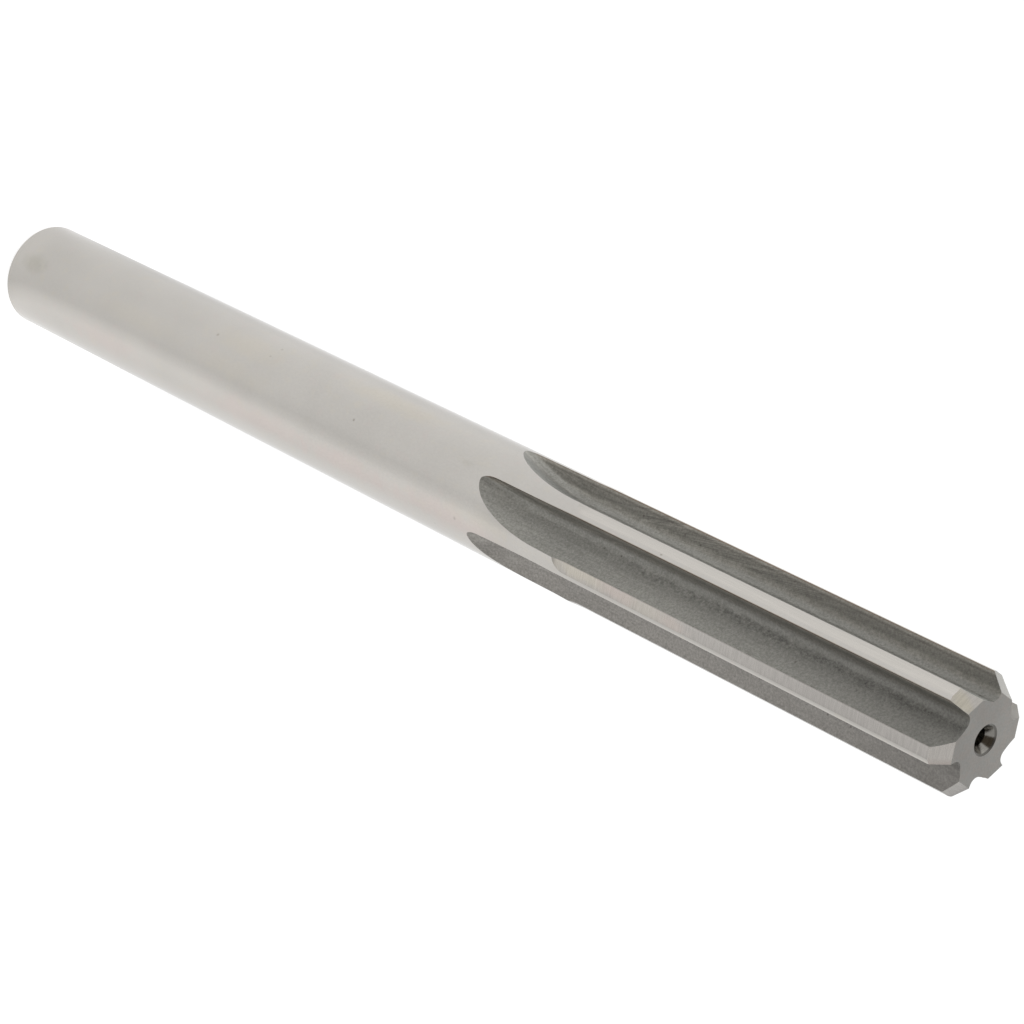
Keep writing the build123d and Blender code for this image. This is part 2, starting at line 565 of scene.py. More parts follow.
shankFinish = {
    "metal": (0.474, 0.456, 0.429),
    "pink": (0.492, 0.445, 0.419),
    "gold": (0.492, 0.462, 0.412),
    "smudge": (0.425, 0.408, 0.370),
    "speck": (0.30, 0.28, 0.25),
    "wornEdge": (0.16, 0.12, 0.09),
    "roughness": (0.13, 0.03),
    "bump": (0.1, 0.0000006),
    "latheLines": ((1.0, 1.0, 14.0), 1.5, 3.0),
    "fineGrain": ((1.0, 1.0, 0.6), 9.0, 4.0, 0.65),
    "fineDepth": (12.0, 34.0, 0.06, 0.144),  # by height
    "broadGrain": ((1.0, 1.0, 1.0), 0.25, 2.0),
    "broadTone": (0.3, 0.7, -0.02, 0.02),
    "mottling": ((1.0, 1.0, 0.8), 1.3, 4.0, 0.65),
    "goldMottling": (0.52, 0.72, 0.0, 0.55),
    "pinkMottling": (0.28, 0.48, 0.40, 0.0),
    "pits": (0.9, 0.16, 0.075, 0.8),
    "wear": (0.15, 0.75, 0.85, 0.0),  # by degrees from a cutting edge
    "wearStart": (47.0, 51.0),
    "wearTipwards": (62.0, 75.0, 1.0, 0.6),
    "sharpAzimuth": -60.0,  # the tooth that is still sharp
    "sharpReach": (20.0, 40.0),
    "sharpLand": (20.0, 40.0, 0.07, 0.0),  # how much darker the metal is there
    "landStart": (43.5, 46.5),
    "marginStart": (46.0, 62.0),
    "backMarginStart": (46.5, 50.5),
    "backSide": (120.0, 150.0),  # by degrees from +X
    "margins": [  # tone of the round strips behind the edges, by azimuth: partly their own tone, partly painted light and shade
        (-180.0, 1.42), (-165.0, 1.2), (-150.0, 1.0), (-75.0, 1.0), (-66.0, 0.73), (-64.0, 0.78),
        (-62.4, 0.87), (-61.5, 0.95), (-60.0, 1.08), (-56.0, 1.0), (160.0, 1.0), (172.0, 1.40),
        (180.0, 1.42),
    ],
    "pinkClouds": [
        (-63.0, 10.5, 20.0, 5.0, 0.8),
        (-61.0, 25.0, 20.0, 7.5, 0.9),
        (-62.0, 33.5, 18.0, 6.0, 1.0),
        (-62.0, 41.5, 19.0, 6.5, 1.0),
        (70.0, 18.0, 30.0, 9.0, 0.7),
        (150.0, 36.0, 30.0, 8.0, 0.7),
    ],
    "goldClouds": [
        (-131.0, 22.5, 20.0, 4.5, 0.7),
        (-147.0, 34.5, 16.0, 6.0, 0.9),
        (-104.0, 13.0, 18.0, 5.5, 0.45),
        (-100.0, 22.0, 16.0, 5.0, 0.45),
        (-74.0, 44.0, 12.0, 3.5, 0.5),
        (20.0, 30.0, 30.0, 7.0, 0.6),
        (110.0, 9.0, 30.0, 6.0, 0.6),
    ],
    "smudgeClouds": [
        (-108.0, 2.4, 16.0, 1.6, 1.0),
        (-121.0, 41.9, 5.0, 0.6, 0.5),
        (40.0, 4.0, 20.0, 2.0, 0.8),
    ],
    "speckClouds": [
        (-126.7, 19.8, 2.6, 0.15, 0.8),
        (-144.9, 24.6, 2.2, 0.12, 0.7),
        (-109.0, 33.0, 2.2, 0.12, 0.8),
        (-63.7, 42.3, 2.6, 0.14, 0.5),
        (-133.5, 50.0, 2.0, 0.12, 0.9),
        (-123.7, 56.4, 2.0, 0.12, 0.9),
        (35.0, 27.0, 2.6, 0.15, 1.0),
        (96.0, 38.0, 2.4, 0.14, 1.0),
    ],
    "smudgeRagged": 0.8,
    "speckRagged": 0.4,
}


def makeShankMetal():
    look = shankFinish
    material, tree, surface = startMaterial("polishedShank")
    place = useGroup(tree, toolPlace)
    mm, azimuth, ahead, _, height = place
    colour = addClouds(tree, place, opaque(look["metal"]), look, "pink", "gold", "smudge", "speck")
    colour = mixColour(tree, pitMask(tree, mm, *look["pits"]), colour, opaque(look["speck"]))
    mottling = grain(tree, mm, *look["mottling"])
    colour = mixColour(tree, fade(tree, mottling, *look["goldMottling"]), colour, opaque(look["gold"]))
    colour = mixColour(tree, fade(tree, mottling, *look["pinkMottling"]), colour, opaque(look["pink"]))
    fromEdge = distance(tree, ahead, 0.0)
    fromSharp = distance(tree, azimuth, look["sharpAzimuth"])
    wear = times(tree, fade(tree, fromEdge, *look["wear"]), fade(tree, height, *look["wearStart"]),
                 fade(tree, height, *look["wearTipwards"]), fade(tree, fromSharp, *look["sharpReach"]))
    colour = mixColour(tree, wear, colour, opaque(look["wornEdge"]))
    broad = grain(tree, mm, *look["broadGrain"])
    fine = swing(tree, grain(tree, mm, *look["fineGrain"]), fade(tree, height, *look["fineDepth"]))
    tone = calc(tree, "ADD", fine, fade(tree, broad, *look["broadTone"]))
    back = fade(tree, distance(tree, azimuth, 0.0), *look["backSide"])
    start = mixValue(tree, back, fade(tree, height, *look["marginStart"]),
                     fade(tree, height, *look["backMarginStart"]))
    # the margin tones are partly painted light and shade
    margin = mixValue(tree, start, 1.0, spread(tree, azimuth, fullTurn, look["margins"]))
    land = times(tree, fade(tree, fromSharp, *look["sharpLand"]), fade(tree, height, *look["landStart"]))
    colour = toned(tree, colour, times(tree, tone, margin, remainder(tree, land)))
    finishMetal(tree, surface, look, colour, broad, grain(tree, mm, *look["latheLines"]))
    return material


reliefFinish = {
    "light": (0.50, 0.478, 0.445),
    "dark": (0.355, 0.338, 0.318),
    "gold": (0.43, 0.40, 0.345),
    "pink": (0.41, 0.365, 0.335),
    # dark colour for the painted shade and for the real pits
    "shadeAndPits": (0.17, 0.16, 0.14),
    "roughness": (0.24, 0.03),
    "bump": (0.2, 0.000002),
    "finerAzimuth": -153.0,  # the teeth on this side were ground finer, and along the tool
    "finerReach": (35.0, 65.0, 1.0, 0.0),
    "across": ((0.7, 0.7, 9.0), 1.6, 4.0, 0.7),
    "acrossTone": (0.25, 0.75, 0.90, 1.10),
    "lengthwise": ((9.0, 9.0, 0.3), 1.6, 4.0, 0.6),
    "lengthwiseTone": (0.25, 0.75, 0.96, 1.04),
    "tipwards": (56.0, 69.0, 1.07, 0.95),
    "tones": [  # from the heel to the margin, by degrees ahead of the cutting edge before
        (45.0, 1.05), (47.0, 1.01), (49.0, 1.0), (52.0, 0.99), (54.0, 0.97), (56.0, 0.91),
    ],
    "finerTones": [(45.0, 0.95), (47.5, 0.97), (50.0, 0.99), (54.0, 1.01), (56.0, 0.96)],
    "finerStart": (tip - 26.3, tip - 25.3, 0.93, 1.0),
    # painted shade: a dark line where the relief lifts out of the round, and a thin dark line along the
    # heel
    "liftOutShade": (tip - 26.5, tip - 25.8, 0.75, 0.0),
    "heelShade": (45.0, 45.4, 0.3, 0.0),
    "pits": (1.6, 0.12, 0.09, 0.6),
    "goldClouds": [
        (-72.0, 52.0, 14.0, 3.2, 0.75),
        (-70.0, 56.8, 14.0, 2.6, 0.4),
        (50.0, 60.0, 16.0, 5.0, 0.6),
    ],
    "pinkClouds": [
        (-71.0, 54.6, 12.0, 1.8, 0.9),
        (-69.0, 58.5, 12.0, 1.6, 0.7),
        (110.0, 56.0, 16.0, 4.0, 0.6),
    ],
}


def makeReliefMetal():
    look = reliefFinish
    material, tree, surface = startMaterial("groundRelief")
    place = useGroup(tree, toolPlace)
    mm, azimuth, ahead, _, height = place
    turned = calc(tree, "SUBTRACT", azimuth, look["finerAzimuth"])
    turned = calc(tree, "WRAP", turned, fullTurn[1], fullTurn[0])
    finer = fade(tree, calc(tree, "ABSOLUTE", turned), *look["finerReach"])
    coarser = remainder(tree, finer)
    colour = mixColour(tree, finer, opaque(look["dark"]), opaque(look["light"]))
    colour = addClouds(tree, place, colour, look, "gold", "pink")
    across = grain(tree, mm, *look["across"])
    lengthwise = grain(tree, mm, *look["lengthwise"])
    lines = mixValue(tree, finer, fade(tree, across, *look["acrossTone"]),
                     fade(tree, lengthwise, *look["lengthwiseTone"]))
    upwards = mixValue(tree, finer, fade(tree, height, *look["tipwards"]),
                       fade(tree, height, *look["finerStart"]))
    sideways = mixValue(tree, finer, spread(tree, ahead, acrossTooth, look["tones"]),
                        spread(tree, ahead, acrossTooth, look["finerTones"]))
    colour = toned(tree, colour, times(tree, lines, upwards, sideways))
    # the darkening at the lift-out and along the heel is painted shade; the pits are real marks
    liftOut = times(tree, fade(tree, height, *look["liftOutShade"]), coarser)
    heel = times(tree, fade(tree, ahead, *look["heelShade"]), coarser)
    shadeAndPits = calc(tree, "MAXIMUM", calc(tree, "MAXIMUM", liftOut, heel), pitMask(tree, mm, *look["pits"]))
    colour = mixColour(tree, shadeAndPits, colour, opaque(look["shadeAndPits"]))
    finishMetal(tree, surface, look, colour, across, mixValue(tree, finer, across, lengthwise))
    return material


# The wall of a flute is its cutting face. The upper flute lies behind the lightest tooth. A pair that is
# named ByFlute is the value in the other flutes and in the upper one.

fluteFinish = {
    "metal": (0.25, 0.2465, 0.2285),
    "wall": (0.25, 0.242, 0.219),
    "brown": (0.30, 0.19, 0.12),
    "warm": (0.24, 0.222, 0.193),
    "pit": (0.09, 0.082, 0.070),
    "light": (0.395, 0.384, 0.362),
    "roughness": (0.65, 0.04),
    "bump": (0.3, 0.000006),
    "upperSide": (-132.0, -126.0, 1.0, 0.0),  # by azimuth
    "wallWidth": (1.0, 4.0, 1.0, 0.0),  # by degrees ahead of the cutting edge
    "tones": [  # across a flute, by degrees ahead of the cutting edge: partly painted light and shade, lighter towards the heel
        (0.0, 1.15), (2.0, 1.0), (5.0, 1.10), (9.0, 1.14), (13.0, 1.24), (18.0, 1.15), (22.0, 1.15),
        (27.0, 1.16), (31.0, 1.23), (35.0, 1.31), (39.0, 1.36), (45.0, 1.43),
    ],
    "heights": [
        (44.0, 1.27), (46.0, 1.25), (48.5, 1.13), (50.5, 1.09), (58.0, 1.05), (62.0, 1.0), (66.0, 0.975),
        (70.0, 0.91), (74.0, 0.82), (76.2, 0.79),
    ],
    "tints": [  # by azimuth: partly the flutes being ground unalike, partly painted light and shade of each flute
        (-180.0, (1.0, 1.0, 1.0)), (-178.0, (1.22, 1.22, 1.22)), (-176.0, (1.14, 1.14, 1.14)),
        (-174.0, (1.13, 1.13, 1.13)), (-172.0, (1.28, 1.28, 1.28)), (-170.0, (1.25, 1.25, 1.25)),
        (-167.5, (1.02, 1.02, 1.02)), (-165.5, (1.02, 1.02, 1.03)), (-160.0, (1.40, 1.42, 1.44)),
        (-150.0, (1.50, 1.52, 1.55)), (-140.0, (1.45, 1.47, 1.5)), (-128.0, (1.0, 1.0, 1.0)),
        (-66.0, (1.0, 1.0, 1.0)), (-55.0, (0.95, 0.93, 0.94)), (-15.0, (0.90, 0.875, 0.885)),
        (0.0, (1.0, 1.0, 1.0)), (30.0, (1.05, 1.03, 1.02)), (55.0, (1.0, 1.0, 1.0)),
        (90.0, (0.97, 0.97, 0.98)), (120.0, (1.0, 1.0, 1.0)), (160.0, (1.08, 1.07, 1.06)),
        (179.0, (1.0, 1.0, 1.0)),
    ],
    "wallTones": [  # down the wall, by radius: partly painted shade, darker part way down and just under the edge
        (2.0, 0.96), (2.2, 1.02), (2.3, 0.97), (2.4, 0.88), (2.48, 0.80), (2.56, 0.75), (2.64, 0.81),
        (2.75, 0.85), (2.88, 0.96), (2.98, 0.97), (3.06, 0.62), (3.18, 0.54),
    ],
    "upperWallTones": [  # what the upper flute has more: partly painted light and shade, with a bright strip under the edge
        (2.0, 1.05), (2.15, 1.07), (2.3, 1.15), (2.4, 1.17), (2.5, 1.05), (2.6, 0.98), (2.75, 0.94),
        (2.85, 0.92), (2.93, 0.71), (2.99, 0.90), (3.05, 1.85), (3.12, 2.05), (3.18, 2.35),
    ],
    "fineGrain": ((1.0, 1.0, 1.0), 8.0, 4.0, 0.8),
    "fineTone": (0.2, 0.8, 0.70, 1.30),
    "patches": ((1.0, 1.0, 0.6), 1.7, 3.0, 0.6),
    "patchTone": (0.25, 0.75, 0.94, 1.06),
    "drawnLines": ((1.0, 1.0, 0.07), 6.0, 3.0, 0.6),
    "drawnDepth": (50.0, 60.0, 0.30, 0.06),
    "wheelCentre": (13.87, 48.8),  # radius and height, of the arcs that the lifted wheel left
    "wheelPace": (0.22, 3.4, 0.10),  # how fast the pattern changes round, across and up the arcs
    "wheelNoise": (2.2, 5.0, 0.75, 0.3),
    "wheelDepth": (51.0, 60.0, 0.55, 0.25),
    "wheelWallDepth": (51.0, 59.0, 1.3, 0.125),
    "wheelHeight": (51.0, 59.0, 0.6, 0.2),  # of the arcs in the bump
    "sweptRadius": 45.0,  # of the arcs that the wheel's side left on the upper wall as it went along
    "sweptFloor": 1.9,
    "sweptPace": 0.3,
    "sweptNoise": (4.2, 3.0, 0.6),
    "sweptStart": (50.0, 53.0, 0.0, 1.6),
    "sweptEnd": (61.0, 70.0, 1.0, 0.25),
    "streak": (8.0, 16.0, 19.0, 29.0),  # the dark mottled streak, partly mottled marks and partly painted shade along the middle of the flute, in degrees ahead of the cutting edge
    "streakStart": (53.0, 64.0, 0.1, 1.0),
    "streakByFlute": (1.0, 0.75),
    "wander": ((1.0, 1.0, 0.5), 1.5, 5.0, 0.75),
    "wanderByFlute": (22.0, 7.0),
    "dashes": ((1.0, 1.0, 0.7), 10.0, 5.0, 0.8),
    "dashShare": (0.36, 0.68, 0.0, 0.51),
    "clusters": ((1.0, 1.0, 0.5), 1.8, 3.0, 0.6),
    "clusterShare": (0.34, 0.60, 0.32, 0.92),
    "dimples": ((1.0, 1.0, 0.8), 5.0, 3.0, 0.6),
    "dimpleBand": (9.0, 15.0, 22.0, 28.0),
    "dimpleStart": (50.0, 54.0, 0.0, 1.3),
    "dimpleEnd": (62.0, 72.0, 1.0, 0.4),
    "dimplesByFlute": (1.0, 0.3),
    "lightHeights": (65.0, 75.0),  # the upper flute is lighter towards the tip
    "lightAhead": (6.0, 14.0, 0.10, 0.38),
    "liftedAhead": (28.0, 42.0, 0.0, 0.65),  # and all are darker where the wheel was lifted
    "upperLiftedAhead": (4.0, 8.0),
    "liftedByFlute": (1.0, 0.4),
    "liftedHeights": (50.5, 56.0, 0.13, 0.0),
    "runOutAhead": (13.0, 22.0),
    "runOutHeights": (47.0, 52.0, 0.32, 0.0),
    "waviness": (2.75, 2.95, 0.3, 0.05),  # of the tones down the wall, by radius
    "wallTip": (68.0, 73.0),
    "wallTipByFlute": (0.13, 0.05),
    "outerMiddle": (52.0, 58.0, 0.0, 0.17),  # the outer part of the wall is lighter up the tool
    "outerTip": (64.0, 75.0, 0.0, 0.40),
    "outerRadii": (2.85, 3.0),
    "warmRadii": (2.7, 3.0),
    "warmByFlute": (1.0, 0.3),
    "brownRadii": (cutRadius - 0.09, cutRadius - 0.02),
    "brownHeights": (64.0, 75.0, 0.6, 0.35),
    "pits": (1.5, 0.35, 0.15, 0.8),
    "lightClouds": [(121.5, 76.2, 8.0, 2.6, 1.0)],
    "lightRagged": 0.2,
}


def makeWheelMarks(tree, place, wall):
    # fine lines along the path of the grinding wheel: round the lift centre, then straight up the flute
    centreRadius, centreHeight = fluteFinish["wheelCentre"]
    paceRound, paceAcross, paceUp = fluteFinish["wheelPace"]
    outwards = calc(tree, "SUBTRACT", centreRadius, place["Radius"])
    along = calc(tree, "SUBTRACT", place["Height"], centreHeight)
    along = mixValue(tree, wall, calc(tree, "MINIMUM", along, 0.0), along)  # a wall shows both its arcs
    squares = calc(tree, "MULTIPLY_ADD", outwards, outwards, calc(tree, "MULTIPLY", along, along))
    arcs = vector(tree, times(tree, place["Azimuth"], paceRound),
                  times(tree, calc(tree, "SQRT", squares), paceAcross),
                  times(tree, place["Height"], paceUp))
    return noise(tree, arcs, *fluteFinish["wheelNoise"])


def makeSweptMarks(tree, place):
    # arcs that leave the root of the flute one after another, and rise towards the tip
    look = fluteFinish
    radius, height = place["Radius"], place["Height"]
    rise = calc(tree, "MAXIMUM", calc(tree, "SUBTRACT", radius, look["sweptFloor"]), 0.0)
    reach = calc(tree, "SQRT", calc(tree, "MULTIPLY", rise, 2.0 * look["sweptRadius"]))
    arcs = vector(tree, calc(tree, "SUBTRACT", height, reach), times(tree, radius, look["sweptPace"]))
    return noise(tree, arcs, *look["sweptNoise"])


# a dark mottled streak: partly mottled marks, partly painted shade along the middle of the flute
def makeStreak(tree, place, upper):
    look = fluteFinish
    mm = place["Millimetres"]
    wander = calc(tree, "SUBTRACT", grain(tree, mm, *look["wander"]), 0.5)
    degrees = mixValue(tree, upper, *look["wanderByFlute"])
    wandered = calc(tree, "MULTIPLY_ADD", wander, degrees, place["Tooth Angle"])
    dashes = fade(tree, grain(tree, mm, *look["dashes"]), *look["dashShare"])
    clusters = fade(tree, grain(tree, mm, *look["clusters"]), *look["clusterShare"])
    return times(tree, band(tree, wandered, *look["streak"]), dashes, clusters,
                 fade(tree, place["Height"], *look["streakStart"]),
                 mixValue(tree, upper, *look["streakByFlute"]))


def makeDimples(tree, place, upper):
    look = fluteFinish
    height = place["Height"]
    depth = times(tree, fade(tree, height, *look["dimpleStart"]), fade(tree, height, *look["dimpleEnd"]),
                  mixValue(tree, upper, *look["dimplesByFlute"]),
                  band(tree, place["Tooth Angle"], *look["dimpleBand"]))
    return swing(tree, grain(tree, place["Millimetres"], *look["dimples"]), depth)


def makeEndTones(tree, place, upper):
    look = fluteFinish
    ahead, height = place["Tooth Angle"], place["Height"]
    light = times(tree, fade(tree, height, *look["lightHeights"]), fade(tree, ahead, *look["lightAhead"]))
    light = calc(tree, "MULTIPLY_ADD", upper, light, 1.0)
    lifted = calc(tree, "MAXIMUM", times(tree, upper, fade(tree, ahead, *look["upperLiftedAhead"])),
                  fade(tree, ahead, *look["liftedAhead"]))
    lifted = times(tree, lifted, mixValue(tree, upper, *look["liftedByFlute"]),
                   fade(tree, height, *look["liftedHeights"]))
    runOut = times(tree, upper, fade(tree, ahead, *look["runOutAhead"]),
                   fade(tree, height, *look["runOutHeights"]))
    return times(tree, light, remainder(tree, lifted), remainder(tree, runOut))


# the tones down the wall are partly painted light and shade
def makeWallTone(tree, place, upper, depth):
    look = fluteFinish
    radius, height = place["Radius"], place["Height"]
    tipLight = calc(tree, "MULTIPLY_ADD", fade(tree, height, *look["wallTip"]),
                    mixValue(tree, upper, *look["wallTipByFlute"]), 1.0)
    outer = calc(tree, "ADD", fade(tree, height, *look["outerMiddle"]),
                 fade(tree, height, *look["outerTip"]))
    outer = times(tree, outer, fade(tree, radius, *look["outerRadii"]), remainder(tree, upper))
    more = mixValue(tree, upper, 1.0, spread(tree, radius, downWall, look["upperWallTones"]))
    return times(tree, spread(tree, depth, downWall, look["wallTones"]), tipLight,
                 calc(tree, "ADD", 1.0, outer), more)


def makeFluteMetal():
    look = fluteFinish
    material, tree, surface = startMaterial("groundFlute")
    place = useGroup(tree, toolPlace)
    mm, azimuth, ahead, radius, height = place
    upper = fade(tree, azimuth, *look["upperSide"])
    wall = fade(tree, ahead, *look["wallWidth"])
    fine = grain(tree, mm, *look["fineGrain"])
    patches = grain(tree, mm, *look["patches"])
    wheel = makeWheelMarks(tree, place, wall)
    wheelDepth = mixValue(tree, wall, fade(tree, height, *look["wheelDepth"]),
                          fade(tree, height, *look["wheelWallDepth"]))
    sweptDepth = times(tree, fade(tree, height, *look["sweptStart"]), fade(tree, height, *look["sweptEnd"]),
                       upper, wall)
    depth = calc(tree, "SUBTRACT", patches, 0.5)
    depth = calc(tree, "MULTIPLY_ADD", depth, fade(tree, radius, *look["waviness"]), radius)
    # the tones across the flute are partly painted light and shade
    tone = times(
        tree,
        spread(tree, ahead, acrossFlute, look["tones"]),
        spread(tree, height, upTool, look["heights"]),
        fade(tree, fine, *look["fineTone"]),
        fade(tree, patches, *look["patchTone"]),
        swing(tree, wheel, wheelDepth),
        swing(tree, grain(tree, mm, *look["drawnLines"]), fade(tree, height, *look["drawnDepth"])),
        remainder(tree, makeStreak(tree, place, upper)),
        makeDimples(tree, place, upper),
        swing(tree, makeSweptMarks(tree, place), sweptDepth),
        makeEndTones(tree, place, upper),
        mixValue(tree, wall, 1.0, makeWallTone(tree, place, upper, depth)),
    )
    colour = mixColour(tree, wall, opaque(look["metal"]), opaque(look["wall"]))
    warmth = times(tree, wall, fade(tree, depth, *look["warmRadii"]),
                   mixValue(tree, upper, *look["warmByFlute"]))
    colour = mixColour(tree, warmth, colour, opaque(look["warm"]))
    # the tints by azimuth are partly painted light and shade
    tint = spread(tree, azimuth, fullTurn, look["tints"])
    colour = toned(tree, mixColour(tree, 1.0, colour, tint, "MULTIPLY"), tone)
    brown = times(tree, wall, fade(tree, radius, *look["brownRadii"]),
                  fade(tree, height, *look["brownHeights"]))
    colour = mixColour(tree, brown, colour, opaque(look["brown"]))
    colour = addClouds(tree, place, colour, look, "light")
    colour = mixColour(tree, pitMask(tree, mm, *look["pits"]), colour, opaque(look["pit"]))
    arcs = times(tree, wheel, fade(tree, height, *look["wheelHeight"]))
    finishMetal(tree, surface, look, colour, patches, calc(tree, "ADD", fine, arcs))
    return material


bevelFinish = {
    "metals": [  # by azimuth: partly the teeth being ground unalike, partly painted light and shade of each bevel
        (-180.0, (0.375, 0.368, 0.343)), (-145.0, (0.42, 0.40, 0.37)), (-110.0, (0.412, 0.390, 0.366)),
        (-85.0, (0.515, 0.492, 0.462)), (-66.0, (0.515, 0.492, 0.462)), (-60.0, (0.46, 0.42, 0.39)),
        (-15.0, (0.325, 0.313, 0.294)), (-6.0, (0.31, 0.297, 0.28)), (0.0, (0.262, 0.252, 0.24)),
        (30.0, (0.34, 0.325, 0.305)), (90.0, (0.39, 0.372, 0.35)), (150.0, (0.41, 0.40, 0.371)),
        (174.0, (0.41, 0.40, 0.371)), (180.0, (0.375, 0.368, 0.343)),
    ],
    "gold": (0.43, 0.40, 0.33),
    "goldClouds": [(-126.0, 75.8, 12.0, 0.9, 0.8)],
    "roughness": (0.24, 0.03),
    "bump": (0.2, 0.000002),
    "lines": ((0.8, 0.8, 9.0), 2.0, 4.0, 0.6),
    "lineTone": (0.25, 0.75, 0.90, 1.10),
}


def makeBevelMetal():
    look = bevelFinish
    material, tree, surface = startMaterial("groundBevel")
    place = useGroup(tree, toolPlace)
    # the colours by azimuth are partly painted light and shade
    colour = spread(tree, place["Azimuth"], fullTurn, look["metals"])
    colour = addClouds(tree, place, colour, look, "gold")
    lines = grain(tree, place["Millimetres"], *look["lines"])
    colour = toned(tree, colour, fade(tree, lines, *look["lineTone"]))
    finishMetal(tree, surface, look, colour, lines, lines)
    return material


tipFinish = {
    "metal": (0.252, 0.247, 0.233),
    "pink": (0.259, 0.245, 0.228),
    "roughness": (0.42, 0.04),
    "bump": (0.3, 0.000004),
    "fineGrain": ((1.0, 1.0, 1.0), 9.0, 4.0, 0.65),
    "fineTone": (0.25, 0.75, 0.905, 1.095),
    "broadGrain": ((1.0, 1.0, 1.0), 0.7, 2.0),
    "broadTone": (0.3, 0.7, -0.03, 0.03),
    "flecks": ((1.0, 1.0, 1.0), 3.0, 3.0, 0.6),
    "fleckShare": (0.42, 0.58),
    "lighterAzimuth": 90.0,
    "lighterReach": (30.0, 90.0, 1.10, 1.0),
}


def makeTipMetal():
    look = tipFinish
    material, tree, surface = startMaterial("groundTip")
    place = useGroup(tree, toolPlace)
    mm = place["Millimetres"]
    fine = grain(tree, mm, *look["fineGrain"])
    broad = grain(tree, mm, *look["broadGrain"])
    tone = calc(tree, "ADD", fade(tree, fine, *look["fineTone"]), fade(tree, broad, *look["broadTone"]))
    beyond = distance(tree, place["Azimuth"], look["lighterAzimuth"])
    flecks = fade(tree, grain(tree, mm, *look["flecks"]), *look["fleckShare"])
    colour = mixColour(tree, flecks, opaque(look["metal"]), opaque(look["pink"]))
    colour = toned(tree, colour, times(tree, tone, fade(tree, beyond, *look["lighterReach"])))
    finishMetal(tree, surface, look, colour, fine, fine)
    return material


holeFinish = {
    "metal": (0.27, 0.26, 0.238),
    "roughness": (0.22, 0.04),
    "bump": (0.2, 0.000002),
    "guardRadii": (0.715, 0.745),  # the narrow cone at the rim, and its tone
    "guardTone": 0.46,
    "tones": [  # painted reflection: bright and dark patches round the hole, by azimuth
        (-20.0, 1.3), (9.0, 1.4), (24.0, 1.2), (38.0, 0.95), (55.0, 1.0), (84.0, 1.0), (99.0, 0.85),
        (115.0, 0.75), (130.0, 0.8), (145.0, 1.15), (170.0, 1.1),
    ],
    "rings": ((0.6, 0.6, 12.0), 2.0, 3.0),
    "ringTone": (0.25, 0.75, 0.88, 1.12),
}


def makeHoleMetal():
    look = holeFinish
    material, tree, surface = startMaterial("turnedCentre")
    mm, azimuth, _, radius, _ = useGroup(tree, toolPlace)
    rings = grain(tree, mm, *look["rings"])
    # the tones round the hole are painted reflections
    tone = mixValue(tree, fade(tree, radius, *look["guardRadii"]),
                    spread(tree, azimuth, fullTurn, look["tones"]), look["guardTone"])
    colour = toned(tree, opaque(look["metal"]), times(tree, tone, fade(tree, rings, *look["ringTone"])))
    finishMetal(tree, surface, look, colour, rings, rings)
    return material


shankMetal = makeShankMetal()
reliefMetal = makeReliefMetal()
fluteMetal = makeFluteMetal()
bevelMetal = makeBevelMetal()
tipMetal = makeTipMetal()
holeMetal = makeHoleMetal()
print("materials made")


reamerBody = makeReamer()
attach(reamerBody, "root")
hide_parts("reamer")


# Floor, light and camera. Sizes are in metres, but the reaches on the floor are in mm from the axis.

studio = {
    "floorSize": 3.0,
    "floorSquares": 8,
    "floorDrop": 0.00002,  # keeps it just under the reamer's foot
    "floorPaint": 0.6,
    "floorRoughness": 0.9,
    "nearGlow": [  # by azimuth round the reamer's foot: how brightly the metal sees the floor beside it
        (-180.0, 1.09), (-165.0, 1.10), (-150.0, 1.085), (-135.0, 1.085), (-120.0, 1.09), (-105.0, 1.07),
        (-90.0, 1.045), (-75.0, 1.04), (-60.0, 1.19), (-45.0, 1.27), (-30.0, 1.22), (-15.0, 1.175),
        (0.0, 1.135), (15.0, 1.09), (30.0, 1.01), (45.0, 0.97), (100.0, 0.94), (120.0, 0.92),
        (135.0, 0.935), (150.0, 1.03), (165.0, 1.075), (180.0, 1.09),
    ],
    "farGlow": [  # and farther from it
        (-180.0, 1.125), (-165.0, 1.115), (-150.0, 1.09), (-135.0, 1.08), (-120.0, 1.07), (-105.0, 1.06),
        (-90.0, 1.035), (-75.0, 0.975), (-60.0, 1.055), (-45.0, 1.21), (-30.0, 1.21), (-15.0, 1.15),
        (0.0, 1.14), (15.0, 1.12), (30.0, 1.045), (45.0, 1.0), (115.0, 0.97), (130.0, 1.0),
        (150.0, 1.12), (165.0, 1.135), (180.0, 1.125),
    ],
    "nearReach": (7.0, 28.0),
    "shadeLift": 0.2,  # hides the reamer's own shade: this over the distance, which counts as 3 mm or more
    "shadeRadius": 3.0,
    "footAzimuth": -125.0,  # the floor is brighter right at the foot on this side
    "footSides": (20.0, 55.0, 0.10, 0.0),
    "footReach": (3.4, 6.0, 1.0, 0.0),
    "cameraWhite": (3.0, 14.0, 1.3, 1.03),  # as bright as this at least, for the camera
    "worldLight": 1.0,
    "gapAzimuth": -102.0,  # the opening in the light tent that the camera looks in by
    "gapSides": (0.62, 0.76, 1.0, 0.0),
    "gapBack": (-0.35, 0.12),
    "gapNarrowing": 0.75,  # of its width, overhead
    "gapColour": (0.11, 0.09, 0.065),
    "cameraPlace": (-0.02864723, -0.12170217, 0.15315462),
    "cameraRight": (-0.29770157, 0.67705823, 0.67302744),
    "cameraDown": (0.93860988, 0.07885847, 0.33584643),
    "cameraForward": (0.17431367, 0.73169222, -0.65896984),
    "cameraClip": (0.001, 20.0),
    "lens": 109.145,
    "sensorWidth": 36.0,
}


